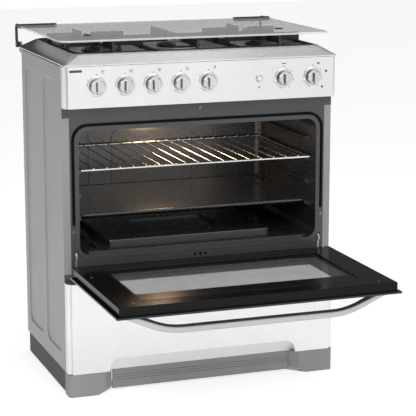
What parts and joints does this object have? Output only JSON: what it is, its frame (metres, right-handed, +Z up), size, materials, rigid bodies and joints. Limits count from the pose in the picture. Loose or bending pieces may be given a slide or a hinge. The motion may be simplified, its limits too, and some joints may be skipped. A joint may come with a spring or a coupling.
{
  "type": "freestanding gas range",
  "caption": "Freestanding gas range with a hinged glass lid over sealed burners, a row of knobs, and a drop-down glass oven door above a fixed lower panel.",
  "frame": {"origin": "on the floor, at the centre of the box round the range at rest: oven door open and level, glass lid closed", "axes": "+X to the viewer's right, -Y out of the oven mouth, +Z up"},
  "size_m": [0.762, 0.985, 0.951],
  "materials": {
    "cabinet_paint": "satin",
    "galvanised_steel": "satin",
    "stainless_steel": "brushed",
    "leg_plastic": "matte",
    "kick_plastic": "matte",
    "skirt_paint": "matte",
    "foot_rubber": "matte",
    "frame_enamel": "semi-gloss enamel",
    "cavity_enamel": "glossy enamel",
    "gasket_rubber": "matte",
    "screw_steel": "plated",
    "bezel_chrome": "polished",
    "lens_red": "translucent",
    "lamp_glass": "clear",
    "insulation_wool": "fibrous",
    "burner_tube": "aluminised",
    "gas_pipe": "drawn",
    "valve_brass": "machined",
    "case_plastic": "matte",
    "burner_aluminium": "polished skirt",
    "cap_enamel": "black enamel",
    "spark_ceramic": "glazed ceramic",
    "grate_iron": "black enamel",
    "lid_glass": "clear, tempered",
    "clip_plastic": "matte",
    "arm_paint": "semi-gloss black",
    "rack_chrome": "bright plated",
    "door_glass": "black printed border with a clear window",
    "door_enamel": "semi-gloss enamel",
    "window_glass": "clear, tempered",
    "trim_enamel": "satin enamel",
    "handle_satin": "satin anodised",
    "knob_satin": "satin",
    "button_plastic": "gloss"
  },
  "bodies": {
    "cabinet": {"side_panel_left": "cabinet_paint", "side_panel_right": "cabinet_paint", "back_panel": "galvanised_steel", "base_pan": "galvanised_steel", "lid_hinge_brackets": "galvanised_steel", "door_hinge_arms": "galvanised_steel", "control_panel": "stainless_steel", "cooktop": "stainless_steel", "lower_panel": "stainless_steel", "leg_blocks": "leg_plastic", "kick_plate": "kick_plastic", "side_skirts": "skirt_paint", "levelling_feet": "foot_rubber", "front_frame": "frame_enamel", "oven_liner": "cavity_enamel", "oven_floor_plate": "cavity_enamel", "door_gasket": "gasket_rubber", "frame_screws": "screw_steel", "button_spring": "screw_steel", "knob_bezels": "bezel_chrome", "indicator_lens": "lens_red", "oven_lamp_lens": "lamp_glass", "insulation": "insulation_wool", "oven_burner": "burner_tube", "gas_rail": "gas_pipe", "gas_pipes": "gas_pipe", "gas_valves": "valve_brass", "switch_cases": "case_plastic", "cord_gland": "case_plastic", "burner_heads": "burner_aluminium", "burner_caps": "cap_enamel", "spark_plugs": "spark_ceramic", "pan_supports": "grate_iron"},
    "door": {"door_outer_glass": "door_glass", "door_liner": "door_enamel", "door_inner_glass": "window_glass", "door_window_trim": "trim_enamel", "door_handle": "handle_satin", "door_screws": "screw_steel", "door_hinge_pins": "screw_steel"},
    "lid": {"lid_glass": "lid_glass", "lid_clips": "clip_plastic", "lid_bumpers": "clip_plastic", "lid_hinge_arms": "arm_paint"},
    "rack": {"oven_rack": "rack_chrome"},
    "tray": {"oven_tray": "cavity_enamel"},
    "button": {"push_button": "button_plastic"},
    "timer_knob": {"knob_6": "knob_satin"},
    "plug_1": {"valve_plug_1": "valve_brass"},
    "knob_1": {"knob_1": "knob_satin"},
    "plug_2": {"valve_plug_2": "valve_brass"},
    "knob_2": {"knob_2": "knob_satin"},
    "plug_3": {"valve_plug_3": "valve_brass"},
    "knob_3": {"knob_3": "knob_satin"},
    "plug_4": {"valve_plug_4": "valve_brass"},
    "knob_4": {"knob_4": "knob_satin"},
    "plug_5": {"valve_plug_5": "valve_brass"},
    "knob_5": {"knob_5": "knob_satin"},
    "plug_7": {"valve_plug_7": "valve_brass"},
    "knob_7": {"knob_7": "knob_satin"}
  },
  "joints": [
    {"name": "door_hinge", "type": "hinge", "parent": "cabinet", "child": "door", "pos_m": [0, -0.0555, 0.3335], "axis": [-1, 0, 0], "range_deg": [0, 90]},
    {"name": "lid_hinge", "type": "hinge", "parent": "cabinet", "child": "lid", "pos_m": [0, 0.4775, 0.89], "axis": [-1, 0, 0], "range_deg": [0, 95]},
    {"name": "rack_slide", "type": "slide", "parent": "cabinet", "child": "rack", "axis": [0, 1, 0], "range_m": [-0.3, 0]},
    {"name": "tray_slide", "type": "slide", "parent": "cabinet", "child": "tray", "axis": [0, 1, 0], "range_m": [-0.3, 0]},
    {"name": "knob_1_turn", "type": "hinge", "parent": "cabinet", "child": "plug_1", "pos_m": [-0.2945, -0.0115, 0.832], "axis": [0, -1, 0], "range_deg": [0, 210]},
    {"name": "knob_1_push", "type": "slide", "parent": "plug_1", "child": "knob_1", "axis": [0, 1, 0], "range_m": [0, 0.003], "stiffness_N_per_m": 400, "springref_m": -0.002},
    {"name": "knob_2_turn", "type": "hinge", "parent": "cabinet", "child": "plug_2", "pos_m": [-0.218, -0.0115, 0.832], "axis": [0, -1, 0], "range_deg": [0, 210]},
    {"name": "knob_2_push", "type": "slide", "parent": "plug_2", "child": "knob_2", "axis": [0, 1, 0], "range_m": [0, 0.003], "stiffness_N_per_m": 400, "springref_m": -0.002},
    {"name": "knob_3_turn", "type": "hinge", "parent": "cabinet", "child": "plug_3", "pos_m": [-0.1415, -0.0115, 0.832], "axis": [0, -1, 0], "range_deg": [0, 210]},
    {"name": "knob_3_push", "type": "slide", "parent": "plug_3", "child": "knob_3", "axis": [0, 1, 0], "range_m": [0, 0.003], "stiffness_N_per_m": 400, "springref_m": -0.002},
    {"name": "knob_4_turn", "type": "hinge", "parent": "cabinet", "child": "plug_4", "pos_m": [-0.065, -0.0115, 0.832], "axis": [0, -1, 0], "range_deg": [0, 210]},
    {"name": "knob_4_push", "type": "slide", "parent": "plug_4", "child": "knob_4", "axis": [0, 1, 0], "range_m": [0, 0.003], "stiffness_N_per_m": 400, "springref_m": -0.002},
    {"name": "knob_5_turn", "type": "hinge", "parent": "cabinet", "child": "plug_5", "pos_m": [0.0115, -0.0115, 0.832], "axis": [0, -1, 0], "range_deg": [0, 210]},
    {"name": "knob_5_push", "type": "slide", "parent": "plug_5", "child": "knob_5", "axis": [0, 1, 0], "range_m": [0, 0.003], "stiffness_N_per_m": 400, "springref_m": -0.002},
    {"name": "timer_turn", "type": "hinge", "parent": "cabinet", "child": "timer_knob", "pos_m": [0.2266, -0.0745, 0.832], "axis": [0, -1, 0], "range_deg": [-300, 0]},
    {"name": "knob_7_turn", "type": "hinge", "parent": "cabinet", "child": "plug_7", "pos_m": [0.3107, -0.0115, 0.832], "axis": [0, -1, 0], "range_deg": [0, 240]},
    {"name": "knob_7_push", "type": "slide", "parent": "plug_7", "child": "knob_7", "axis": [0, 1, 0], "range_m": [0, 0.003], "stiffness_N_per_m": 400, "springref_m": -0.002},
    {"name": "button_push", "type": "slide", "parent": "cabinet", "child": "button", "axis": [0, 1, 0], "range_m": [0, 0.003], "stiffness_N_per_m": 300, "springref_m": -0.002, "deforming": ["button_spring"]}
  ]
}
